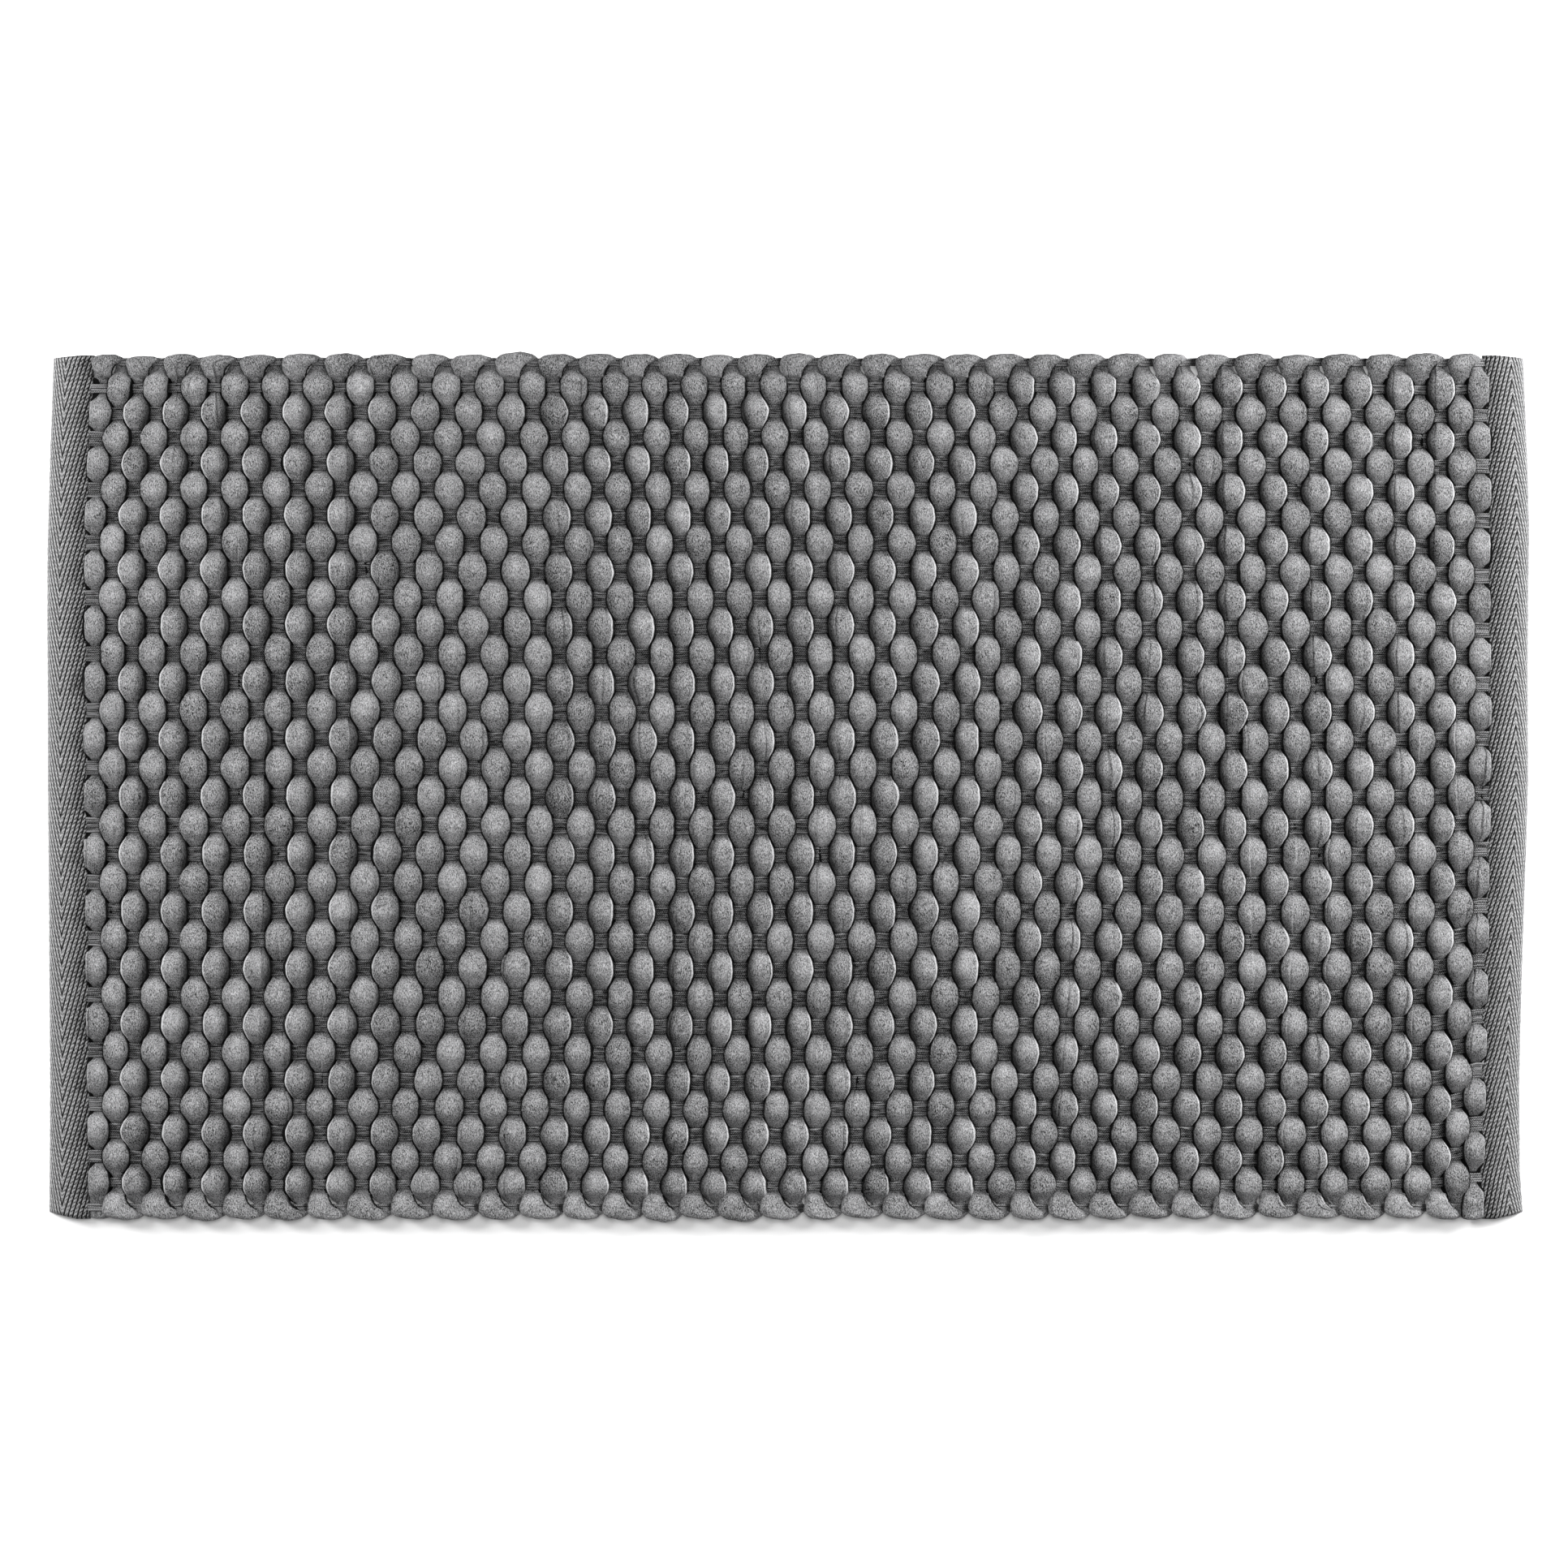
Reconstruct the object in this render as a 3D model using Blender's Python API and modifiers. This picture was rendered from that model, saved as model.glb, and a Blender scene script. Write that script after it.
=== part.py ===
"""Woven bath mat: padded weft cords, yarn warp bundles and folded binding tapes.

One padded cord runs back and forth across the mat and turns round at both long edges. It is
made of four lengths, each a velvet sleeve round a fibre filling. Bundles of yarn run along the
mat, over one column of cord and under the next, and change places from row to row. A folded
tape closes each short end over the ends of the bundles.

X runs along the mat, Y across it and Z up. The origin is on the floor under the mat's middle.
Units are metres.
"""

import math

import bpy

# The mat
COLUMNS = 68
COLUMN_PITCH = 0.01419
ROWS = 32
OUTER_ROW_Y = 0.2892
ROW_CROWDING = 0.05
MIDDLE_Z = 0.0091

# The padded cord
CORD_HALF_WIDTH = 0.0056
CORD_HALF_HEIGHT = 0.0048
CORD_HALF_CREST = 0.0012
SLEEVE_WALL = 0.0008
FILLING_HALF_WIDTH = 0.0040
FILLING_HALF_HEIGHT = 0.0034
FILLING_INSET = 0.0010
FILLING_NARROWING = 0.55
TURN_START_Y = OUTER_ROW_Y + 0.0030
TURN_NARROWING = 0.7
LOOSE_END_Y = -0.2960
SPLICE_GAP = 0.0008
SPLICES = ((21, 20), (28, 7), (45, 2))  # (column, row) that hides each splice

# The warp bundles
WARP_RISE = 0.0077
WARP_HALF_WIDTH = 0.0042
EDGE_WARP_HALF_WIDTH = 0.0030
WARP_HALF_THICKNESS = 0.0011
WARP_FLAT_X = 0.4879
WARP_FLAT_Z = 0.0033
WARP_END_X = 0.5070

# The binding tapes
TAPE_THICKNESS = 0.0012
TAPE_LENGTH = 0.5960
TAPE_LOWER_Z = TAPE_THICKNESS / 2
TAPE_UPPER_Z = 0.0053
TAPE_LIP_Z = 0.0115
TAPE_INNER_X = 0.4839
TAPE_RAMP_X = 0.4900
TAPE_FOLD_X = 0.5090
TAPE_FOLD_STEPS = 6

# The stitching
STITCH_RADIUS = 0.00035
STITCH_X = 0.4930
STITCH_HALF_LENGTH = 0.2920
STITCH_Z = TAPE_UPPER_Z + TAPE_THICKNESS / 2 + 0.0003 + STITCH_RADIUS


def clear_scene():
    for thing in list(bpy.data.objects):
        bpy.data.objects.remove(thing, do_unlink=True)


def new_collection(name):
    collection = bpy.data.collections.new(name)
    bpy.context.scene.collection.children.link(collection)
    return collection


def new_material(name, colour, roughness):
    material = bpy.data.materials.new(name)
    material.use_nodes = True
    shader = material.node_tree.nodes["Principled BSDF"]
    shader.inputs["Base Color"].default_value = (*colour, 1.0)
    shader.inputs["Roughness"].default_value = roughness
    shader.inputs["Metallic"].default_value = 0.0
    material.diffuse_color = (*colour, 1.0)
    return material


def section(name, outline, guides):
    """A closed flat curve, run clockwise, that a swept piece takes its cross-section from."""
    curve = bpy.data.curves.new(name, "CURVE")
    curve.dimensions = "2D"
    curve.fill_mode = "NONE"
    spline = curve.splines.new("POLY")
    spline.points.add(len(outline) - 1)
    for point, (across, up) in zip(spline.points, outline):
        point.co = (across, up, 0.0, 1.0)
    spline.use_cyclic_u = True
    guide = bpy.data.objects.new(name, curve)
    guide.hide_render = True
    guide.display_type = "WIRE"
    guides.objects.link(guide)
    return guide


def swept(name, route, profile, material, parts, capped=True):
    """A curve through route, a list of (x, y, z, scale), that carries profile along it."""
    curve = bpy.data.curves.new(name, "CURVE")
    curve.dimensions = "3D"
    curve.twist_mode = "Z_UP"
    curve.bevel_mode = "OBJECT"
    curve.bevel_object = profile
    curve.use_fill_caps = capped
    spline = curve.splines.new("POLY")
    spline.points.add(len(route) - 1)
    for point, (x, y, z, scale) in zip(spline.points, route):
        point.co = (x, y, z, 1.0)
        point.radius = scale
    curve.materials.append(material)
    piece = bpy.data.objects.new(name, curve)
    parts.objects.link(piece)
    return piece


def hexagon(half_width, half_height, half_crest):
    return [
        (-half_width, 0.0),
        (-half_crest, half_height),
        (half_crest, half_height),
        (half_width, 0.0),
        (half_crest, -half_height),
        (-half_crest, -half_height),
    ]


def diamond(half_width, half_height):
    return [(-half_width, 0.0), (0.0, half_height), (half_width, 0.0), (0.0, -half_height)]


def ridge(half_width, half_height):
    return [(-half_width, -half_height), (0.0, half_height), (half_width, -half_height)]


def column_x(column):
    return (column - (COLUMNS - 1) / 2) * COLUMN_PITCH


def row_y(row):
    """Rows stand a little closer together towards the two long edges."""
    across = 1 - 2 * row / (ROWS - 1)
    return OUTER_ROW_Y * across * (1 + ROW_CROWDING * (1 - across * across))


def passes_over(row, column):
    return (row + column) % 2 == 1


def heading(column):
    """Even columns of the cord run towards +Y and odd ones towards -Y."""
    return 1 if column % 2 == 0 else -1


def turn_route(column, narrowing):
    """The U-turn that joins a column to the next, as three sides of an octagon."""
    side = COLUMN_PITCH / (1 + math.sqrt(2))
    step = side / math.sqrt(2)
    out = heading(column)
    here = column_x(column)
    there = column_x(column + 1)
    start = TURN_START_Y * out
    apex = (TURN_START_Y + step) * out
    return [
        (here, start, MIDDLE_Z, 1.0),
        (here + step, apex, MIDDLE_Z, narrowing),
        (there - step, apex, MIDDLE_Z, narrowing),
        (there, start, MIDDLE_Z, 1.0),
    ]


def cord_lengths():
    """Each length as (first column, y where it starts, last column, y where it ends)."""
    lengths = []
    first = 0
    start = LOOSE_END_Y
    for column, row in SPLICES:
        half_gap = heading(column) * SPLICE_GAP / 2
        lengths.append((first, start, column, row_y(row) - half_gap))
        first = column
        start = row_y(row) + half_gap
    lengths.append((first, start, COLUMNS - 1, LOOSE_END_Y))
    return lengths


def cord_route(first, start, last, end, inset, narrowing):
    route = [(column_x(first), start + heading(first) * inset, MIDDLE_Z, 1.0)]
    for column in range(first, last):
        route.extend(turn_route(column, narrowing))
    route.append((column_x(last), end - heading(last) * inset, MIDDLE_Z, 1.0))
    return route


def warp_route(row):
    y = row_y(row)
    scale = EDGE_WARP_HALF_WIDTH / WARP_HALF_WIDTH if row in (0, ROWS - 1) else 1.0
    woven = []
    for column in range(COLUMNS):
        rise = WARP_RISE if passes_over(row, column) else -WARP_RISE
        woven.append((column_x(column), y, MIDDLE_Z + rise, scale))
    left = [(-WARP_END_X, y, WARP_FLAT_Z, scale), (-WARP_FLAT_X, y, WARP_FLAT_Z, scale)]
    right = [(WARP_FLAT_X, y, WARP_FLAT_Z, scale), (WARP_END_X, y, WARP_FLAT_Z, scale)]
    return left + woven + right


def tape_midline():
    """The folded tape's middle surface in (x, z), from its lower edge round to its lip."""
    fold_radius = (TAPE_UPPER_Z - TAPE_LOWER_Z) / 2
    fold_z = (TAPE_UPPER_Z + TAPE_LOWER_Z) / 2
    line = [(TAPE_INNER_X, TAPE_LOWER_Z)]
    for step in range(TAPE_FOLD_STEPS + 1):
        angle = math.pi * step / TAPE_FOLD_STEPS
        across = TAPE_FOLD_X + fold_radius * math.sin(angle)
        line.append((across, fold_z - fold_radius * math.cos(angle)))
    line.append((TAPE_RAMP_X, TAPE_UPPER_Z))
    line.append((TAPE_INNER_X, TAPE_LIP_Z))
    return line


def add_solidify(piece, thickness, offset):
    shell = piece.modifiers.new("thickness", "SOLIDIFY")
    shell.thickness = thickness
    shell.offset = offset
    shell.use_even_offset = True
    return shell


def add_cord(parts, guides, velvet, fibre):
    outer = section(
        "sleeve_section", hexagon(CORD_HALF_WIDTH, CORD_HALF_HEIGHT, CORD_HALF_CREST), guides
    )
    inner = section("filling_section", diamond(FILLING_HALF_WIDTH, FILLING_HALF_HEIGHT), guides)
    for number, length in enumerate(cord_lengths(), 1):
        route = cord_route(*length, 0.0, TURN_NARROWING)
        sleeve = swept(f"weft_cord_sleeve_{number}", route, outer, velvet, parts, capped=False)
        add_solidify(sleeve, SLEEVE_WALL, -1.0)
        core = cord_route(*length, FILLING_INSET, FILLING_NARROWING)
        swept(f"weft_cord_filling_{number}", core, inner, fibre, parts)


def add_warps(parts, guides, yarn):
    profile = section("warp_section", ridge(WARP_HALF_WIDTH, WARP_HALF_THICKNESS), guides)
    for row in range(ROWS):
        swept(f"warp_bundle_{row + 1:02d}", warp_route(row), profile, yarn, parts)


def add_tape(name, side, webbing, parts):
    """side is -1 for the tape at -X and 1 for the one at +X."""
    curve = bpy.data.curves.new(name, "CURVE")
    curve.dimensions = "2D"
    curve.fill_mode = "NONE"
    curve.extrude = TAPE_LENGTH / 2
    line = tape_midline()
    spline = curve.splines.new("POLY")
    spline.points.add(len(line) - 1)
    for point, (x, z) in zip(spline.points, line):
        point.co = (side * x, z, 0.0, 1.0)
    curve.materials.append(webbing)
    tape = bpy.data.objects.new(name, curve)
    tape.rotation_euler = (math.pi / 2, 0.0, 0.0)
    parts.objects.link(tape)
    add_solidify(tape, TAPE_THICKNESS, 0.0)


def add_stitch(name, side, thread, parts):
    """A straight row of stitching on the tape's upper leg."""
    curve = bpy.data.curves.new(name, "CURVE")
    curve.dimensions = "3D"
    curve.bevel_depth = STITCH_RADIUS
    curve.bevel_resolution = 1
    curve.use_fill_caps = True
    spline = curve.splines.new("POLY")
    spline.points.add(1)
    for point, end in zip(spline.points, (-1, 1)):
        point.co = (side * STITCH_X, end * STITCH_HALF_LENGTH, STITCH_Z, 1.0)
    curve.materials.append(thread)
    parts.objects.link(bpy.data.objects.new(name, curve))


def main():
    clear_scene()
    parts = new_collection("woven_bath_mat")
    guides = new_collection("section_guides")
    velvet = new_material("grey_velvet", (0.25, 0.25, 0.26), 0.95)
    fibre = new_material("white_fibre", (0.80, 0.80, 0.78), 0.95)
    yarn = new_material("dark_grey_yarn", (0.13, 0.13, 0.14), 0.90)
    webbing = new_material("grey_tape", (0.22, 0.22, 0.23), 0.85)
    thread = new_material("grey_thread", (0.17, 0.17, 0.18), 0.70)
    add_cord(parts, guides, velvet, fibre)
    add_warps(parts, guides, yarn)
    for side, place in ((-1, "left"), (1, "right")):
        add_tape(f"binding_tape_{place}", side, webbing, parts)
        add_stitch(f"binding_stitch_{place}", side, thread, parts)


main()
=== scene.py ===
"""Looks of the woven bath mat: velvet cords, yarn bundles, herringbone tapes and stitches.

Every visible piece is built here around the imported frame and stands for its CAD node. The cord
swells up between the yarn bundles as staggered bubbles and turns round at both long edges.

X runs along the mat, Y across it and Z up, in metres. In the formulas s is a place along the mat
and v a place across it, each from -1 to 1, and "near" is the long edge at -Y.
"""

import math
from collections import namedtuple

import bpy
import numpy as np
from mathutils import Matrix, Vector

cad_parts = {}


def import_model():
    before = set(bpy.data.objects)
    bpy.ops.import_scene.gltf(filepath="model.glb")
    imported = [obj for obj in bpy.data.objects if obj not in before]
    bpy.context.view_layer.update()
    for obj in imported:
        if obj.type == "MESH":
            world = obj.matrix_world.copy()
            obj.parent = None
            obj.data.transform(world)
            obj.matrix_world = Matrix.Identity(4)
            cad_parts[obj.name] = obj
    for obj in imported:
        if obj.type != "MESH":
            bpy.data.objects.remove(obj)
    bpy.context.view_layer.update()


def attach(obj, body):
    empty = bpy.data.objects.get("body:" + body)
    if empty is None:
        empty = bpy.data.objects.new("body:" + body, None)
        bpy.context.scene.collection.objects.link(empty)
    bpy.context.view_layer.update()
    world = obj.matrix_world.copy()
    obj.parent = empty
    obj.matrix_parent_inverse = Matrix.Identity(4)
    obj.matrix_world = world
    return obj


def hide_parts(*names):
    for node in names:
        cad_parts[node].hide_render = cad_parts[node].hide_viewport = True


MM = 0.001
SEED = 20

# The weave
COLUMNS = 68
PITCH = 14.19 * MM
ROWS = 32
OUTER_ROW_Y = 292.7 * MM
ROW_CROWDING = 0.05
MIDDLE_Z = 9.05 * MM
HALF_LENGTH = (COLUMNS - 1) / 2 * PITCH
HALF_WIDTH = 300 * MM
END_COLUMN_HALF_WIDTH = 6.9 * MM
LEFT_LIMIT = 479.6  # mm, how far out the first column's middle may lie
RIGHT_LIMIT = 481.0

# How the columns drift off an even pitch, in mm: (harmonic, sine, cosine) of the place along the mat
COLUMN_WAVES = ((1, -2.1, 0.0), (2, -1.7, 0.0), (3, 0.6, -1.3), (4, -0.3, -0.3))
LEFT_CORNER_DRIFT = ((0.55, 0.80, 1.0), (0.0, 3.0, 6.6))  # v, and mm towards the middle

# How the rows run off straight: places across the mat, v, and mm
RIGHT_FALL = ((-0.1, 0.85, 0.90, 0.98), (0.0, 0.95, 0.9, 0.0))
LEFT_FALL = ((0.6, 0.8, 0.9, 0.98), (0.0, 1.5, 2.2, 0.0))
MIDDLE_SAG = ((-0.98, -0.90, -0.70, -0.30), (0.0, -2.5, -2.5, 0.0))
RIGHT_DRAW = (
    (-0.98, -0.90, -0.75, -0.05, 0.45, 0.75, 0.90, 0.98),
    (1.0, 5.0, 6.0, 2.6, -1.6, 1.6, 1.6, 0.0),
)
RIGHT_DRAW_WIDTH = 22 * MM

# The padded cord
CORD_RISE = 4.3 * MM
CORD_HALF_HEIGHT = 4.6 * MM
BUBBLE_POWER = 2.55  # of the section's superellipse, where the cord lies over the weave
UNDER_POWER = 1.7
NARROW_SHARE = 0.995  # of half the pitch, how far the cord reaches where a bundle binds it
SWELL_SHARE = 0.38  # what a bubble adds to it in the mat's middle; more towards the tapes
END_SWELL_SHARE = 0.075
PINCH = 0.9 * MM  # how far a bundle presses into the cord, and how far beyond its sides
PINCH_MARGIN = 0.2 * MM
LUMP = 0.13 * MM
HEIGHT_SPREAD = 0.05
SIZE_SPREAD = 0.035
SIDE_SPREAD = 0.35 * MM
RING_STEP = 2.05 * MM
SEAM_RADIUS = 7.2 * MM  # turns mm round the cord into an angle
SEAM_MARKS = (-3.2, -1.6, -0.75, -0.3, 0.0, 0.3, 0.75, 1.6, 3.2)  # mm to either side of the seam
SEAM_LEAST = 0.1
SEAM_SWING = 1.9  # radians to either side of the top
SEAM_TURNING = 1.9  # radians of that to-and-fro for each column
RING_REST = 16  # points round the rest of the ring
TURN_IN = 11.0 * MM
TURN_STEPS = 3
TAIL_Y = -297.5 * MM
END_ROUNDING = ((0.93, 0.9), (0.72, 1.9), (0.38, 2.5))  # share of the width, and mm further out
FAR_OFF = 9.0  # mm, a distance to the nearest bundle that no longer matters
TONE_SPREAD = 0.075
COLUMN_TONE_SPREAD = 0.03
PALE_TONE = 0.14

# Painted light and shade on the velvet: how much lighter or darker a cord's flank, its crown and a
# bubble's far end are painted, for sleek and plain columns
SLEEK_FLANK, PLAIN_FLANK = 1.1, 0.25
PLAIN_CROWN = 0.45
SLEEK_FALL, PLAIN_FALL = 0.14, 0.20
NEAR_TURN_PAINTED_LIGHT = 0.35
END_COLUMN_PAINTED_FLANK = 0.3
# painted light: left of FLANK_CHANGE_X the left flank is painted lighter, as if lit from the left;
# right of it the right flank is
FLANK_CHANGE_X = -0.22  # left of this the left flank is the lighter one
FLANK_CHANGE_RUN = 0.10

# The turns, as sections: outer end (x, y), inner end (x, y), height of the middle, half height.
# x runs from the column's middle towards the next column, y outwards from the edge row, in mm.
FAR_TURN = (
    ((-7.4, -8.3), (6.8, -9.8), 0.6, 4.8),
    ((-9.2, -3.5), (7.4, -7.4), 3.2, 5.0),
    ((-9.7, 0.8), (8.0, -5.8), 4.2, 5.0),
    ((-6.6, 4.1), (8.8, -4.4), 4.4, 4.9),
    ((-0.2, 5.4), (9.7, -3.0), 4.2, 4.7),
    ((7.0, 5.7), (10.8, -1.6), 3.2, 4.6),
    ((13.4, 4.6), (10.5, -1.6), 0.8, 4.2),
    ((17.4, 2.2), (9.2, -3.4), -3.2, 3.6),
    ((18.6, -1.4), (8.0, -5.0), -4.7, 3.7),
    ((19.4, -5.4), (7.6, -6.4), -2.8, 4.1),
)
NEAR_TURN = (
    ((-7.2, -8.3), (6.8, -9.8), 0.6, 4.8),
    ((-8.2, -3.0), (7.6, -7.6), 3.2, 5.0),
    ((-8.4, 1.6), (8.6, -5.6), 4.2, 5.0),
    ((-5.4, 4.8), (9.6, -4.0), 4.3, 4.9),
    ((0.6, 6.4), (10.8, -2.4), 4.1, 4.7),
    ((8.4, 7.3), (12.2, -1.2), 3.4, 4.6),
    ((15.8, 6.2), (14.0, 0.2), 1.2, 4.2),
    ((20.8, 3.0), (14.2, -0.2), -2.4, 3.9),
    ((22.2, -1.2), (11.4, -3.6), -4.6, 3.7),
    ((21.2, -5.2), (8.8, -5.8), -3.2, 4.1),
)
TURN_SIZE_SPREAD = 0.10
TURN_LEAN_SPREAD = 0.09

# The cord as separate pieces: the (column, row) of the bundle that hides each cut, and the number
# of the CAD cord length that each piece stands for
CUTS = ((11, 16), (21, 20), (28, 7), (36, 15), (45, 2), (56, 15))
LENGTH_OF_PIECE = (1, 1, 2, 3, 3, 4, 4)
# Columns whose pile is brushed flat and looks sleek: this changes over at the last splice
SLEEK_COLUMNS = [*range(0, 44, 2), *range(45, COLUMNS, 2)]
PALE_BUBBLES = ((21, 19), (27, 7), (44, 3))  # paler cord ends that show beside the splices

# What a cord route holds for each section of the cord
LEFT, RIGHT = slice(0, 2), slice(2, 4)
(
    CENTRE_Z, UPPER, LOWER, TONE, SEAM, LIP,
    COLUMN, PHASE, SWELLING, TOP_BAND, LOW_BAND, TURNING,
) = range(4, 16)
Section = namedtuple("Section", "x reach_left reach_right z upper lower phase u over off_band")

# The warp yarn
YARN_RADIUS = 0.80 * MM
YARN_PITCH = 1.46 * MM
YARN_SIDES = 6
YARN_STEPS = 5
YARN_TWIST = 1.25 * MM
YARN_PRESS = 0.75  # of its radius, how high a yarn's middle stands over the cord
YARN_COUNTS = {0: 3, 1: 4, 2: 6}  # in the rows next to either long edge
FULL_COUNT = 7
THICKER = {3: 1.22, 4: 1.08}  # the yarns of the smallest bundles are thicker
YARN_RADIUS_SPREAD = 0.08
YARN_RADII = (0.55 * MM, 1.2 * MM)
# How each yarn wanders off its line: axis, size and radians for each metre
YARN_WAVES = ((1, 0.20 * MM, 310), (1, 0.16 * MM, 730), (2, 0.14 * MM, 420), (2, 0.12 * MM, 900))
YARN_TONE_SPREAD = 0.16
EDGE_BUNDLE_TONE = 0.28
TUCKED_Z = MIDDLE_Z - 3.6 * MM
# From the last column to inside the tape: x, and the share left of the height above TUCKED_Z
YARN_END = ((0.4870, 0.6), (0.4935, 0.1), (0.5000, 0.0), (0.5065, 0.0))

# The tapes
TAPE_HALF_LENGTH = 298 * MM
# Where the tapes' outer edges lie: shares of the half length from the near to the far end, and mm
TAPE_EDGES = {
    -1: ((-1.0, -0.3, 0.0, 0.55, 0.8, 1.0), (511.8, 511.9, 513.4, 513.2, 511.6, 509.2)),
    1: (
        (-1.0, -0.9, -0.7, -0.3, 0.0, 0.6, 0.85, 1.0),
        (509.8, 507.6, 507.4, 510.9, 513.4, 514.4, 512.1, 510.4),
    ),
}
TAPE_WANDER = 0.3 * MM
TAPE_STEP = 1.15 * MM
TAPE_RING_STEP = 0.44  # mm round the section
TAPE_WALL = 1.0 * MM
# The folded tape's outside, from its upper lip to its lower one: inwards from the edge, and up
TAPE_OUTLINE = (
    (28.9, 5.0), (28.8, 7.6), (27.4, 9.6), (23.6, 10.5), (17.8, 10.8), (12.0, 10.6), (8.0, 10.0),
    (4.6, 8.7), (2.0, 6.8), (0.5, 4.7), (0.1, 3.1), (0.7, 1.6), (2.4, 0.9), (6.0, 0.75),
    (12.0, 0.75), (18.0, 0.75), (23.0, 0.75), (26.0, 1.1),
)
LOWER_LEG_TOP = 5  # mm; the section's points below this are on the fold or the lower leg
SLANT_RUN = 20 * MM  # the ends of the tape are cut askew over this much of its width
NEAR_SLANT, FAR_SLANT = 0.015, 0.006
NEAR_STRETCH = 1.007
END_PRESS_RUN = 4 * MM
END_PRESS = 0.25
TAPE_HEIGHT_SPREAD = 0.035
RIB_APEX = 9.6  # mm inwards from the edge, where the two directions of rib meet
RIB_DEPTH = 1.1 * MM
RIB_RISE = 10.4 * MM
RIB_INNER = 3.06 * MM
RIB_OUTER = 2.30 * MM
RIB_TWIST = 3.3 * MM
RIB_FADE = 1.5  # mm from either lip, where the ribs flatten out
KNOT_STEP = 3.1 * MM
KNOT = 0.10 * MM
# Painted light and shade across the tape: mm inwards from its outer edge, and how much lighter or
# darker it is painted there
TAPE_PAINTED_LIGHT = ((0.0, 1.5, 5.0, 10.0, 15.0, 19.0, 22.0), (0.36, 0.22, 0.12, 0.0, -0.08, -0.16, -0.26))

# The stitches on the tapes
STITCH_LENGTH = 3.4 * MM
STITCH_GAP = 1.1 * MM
STITCH_GAP_SPREAD = 0.15 * MM
STITCH_RADIUS = 0.42 * MM
STITCH_SIDES = 7
STITCH_IN = 23.1 * MM
STITCH_Z = 7.9 * MM
STITCH_DIP = 0.6 * MM
STITCH_MARGIN = 4 * MM
# Along one stitch: the place, the share of the radius and the share of the dip
STITCH_SHAPE = (
    (0.0, 0.45, -0.8), (0.12, 0.85, -0.25), (0.3, 1.0, 0.0), (0.5, 1.0, 0.1),
    (0.7, 1.0, 0.0), (0.88, 0.85, -0.25), (1.0, 0.45, -0.8),
)

# The stage: each softbox has a name, size, power, place and aim
SOFTBOXES = (
    ("softbox_above", (1.1, 1.1), 50.0, (0.05, 0.40, 3.3), (0.0, 0.0, 0.0)),
    ("softbox_left", (0.4, 1.2), 28.0, (-1.45, 0.45, 0.85), (-0.2, 0.0, 0.0)),
    ("softbox_right", (0.6, 0.9), 49.0, (1.55, 0.60, 0.90), (0.1, 0.0, 0.0)),
)
ROOM_LIGHT = 0.22
FLOOR_REACH = 4.0
FLOOR_DROP = 0.0002
CAMERA_PLACE = (-0.0025, 0.0011, 3.024)
CAMERA_LENS = 100
CAMERA_SENSOR = 36

RNG = np.random.default_rng(SEED)


# ------------------------------------------------------------------ the weave's layout


def row_line(row):
    """Rows stand a little closer together towards the two long edges."""
    across = 1 - 2 * np.asarray(row, float) / (ROWS - 1)
    return OUTER_ROW_Y * across * (1 + ROW_CROWDING * (1 - across * across))


ROW_Y = row_line(np.arange(ROWS))
BAND_COUNT = np.array([YARN_COUNTS.get(min(r, ROWS - 1 - r), FULL_COUNT) for r in range(ROWS)])
BAND_HALF = BAND_COUNT * YARN_PITCH / 2

# What differs from bubble to bubble
SIZE_LOT = RNG.normal(0, 1, (COLUMNS, ROWS))
HEIGHT_LOT = RNG.normal(0, 1, (COLUMNS, ROWS))
SIDE_LOT = RNG.normal(0, 1, (COLUMNS, ROWS))
TONE_LOT = RNG.normal(0, 1, (COLUMNS, ROWS))
SEAM_LOT = RNG.uniform(0, 1, (COLUMNS, ROWS))
LIP_LOT = RNG.uniform(0, 1, (COLUMNS, ROWS))
COLUMN_TONE = RNG.normal(0, 1, COLUMNS)
WOBBLE = RNG.uniform(0, 2 * math.pi, (COLUMNS, 2))


def column_x(column, y):
    """The middle of a column: an even pitch plus the slow drift of the weave."""
    even = (column - (COLUMNS - 1) / 2) * PITCH
    s = even / HALF_LENGTH
    v = y / HALF_WIDTH
    drift = -1.9 + 5.2 * s + (6.2 - 6.7 * v * v) * math.cos(math.pi * s / 2)
    for harmonic, sine, cosine in COLUMN_WAVES:
        turn = harmonic * math.pi * s
        drift = drift + sine * math.sin(turn) + cosine * math.cos(turn)
    slow, quick = WOBBLE[int(np.clip(column, 0, COLUMNS - 1))]
    drift = drift + 0.35 * np.sin(9 * v + slow) + 0.2 * np.sin(23 * v + quick)
    # the outer columns are drawn in towards the near edge, and at the far left corner
    drift = drift - 3.6 * s**3 * np.maximum(-v, 0)
    drift = drift + math.exp(-(((s + 1) / 0.15) ** 2)) * np.interp(v, *LEFT_CORNER_DRIFT)
    # the end columns lean against the tapes
    left = LEFT_LIMIT - 2.8 * np.maximum(-v, 0)
    left = left - 13 * np.maximum(v - 0.6, 0) - 20 * np.maximum(v - 0.88, 0)
    right = RIGHT_LIMIT - 5.6 * np.maximum(0.15 - v, 0) - 8 * np.maximum(v - 0.6, 0)
    return np.clip(even + drift * MM, -left * MM, right * MM)


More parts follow.
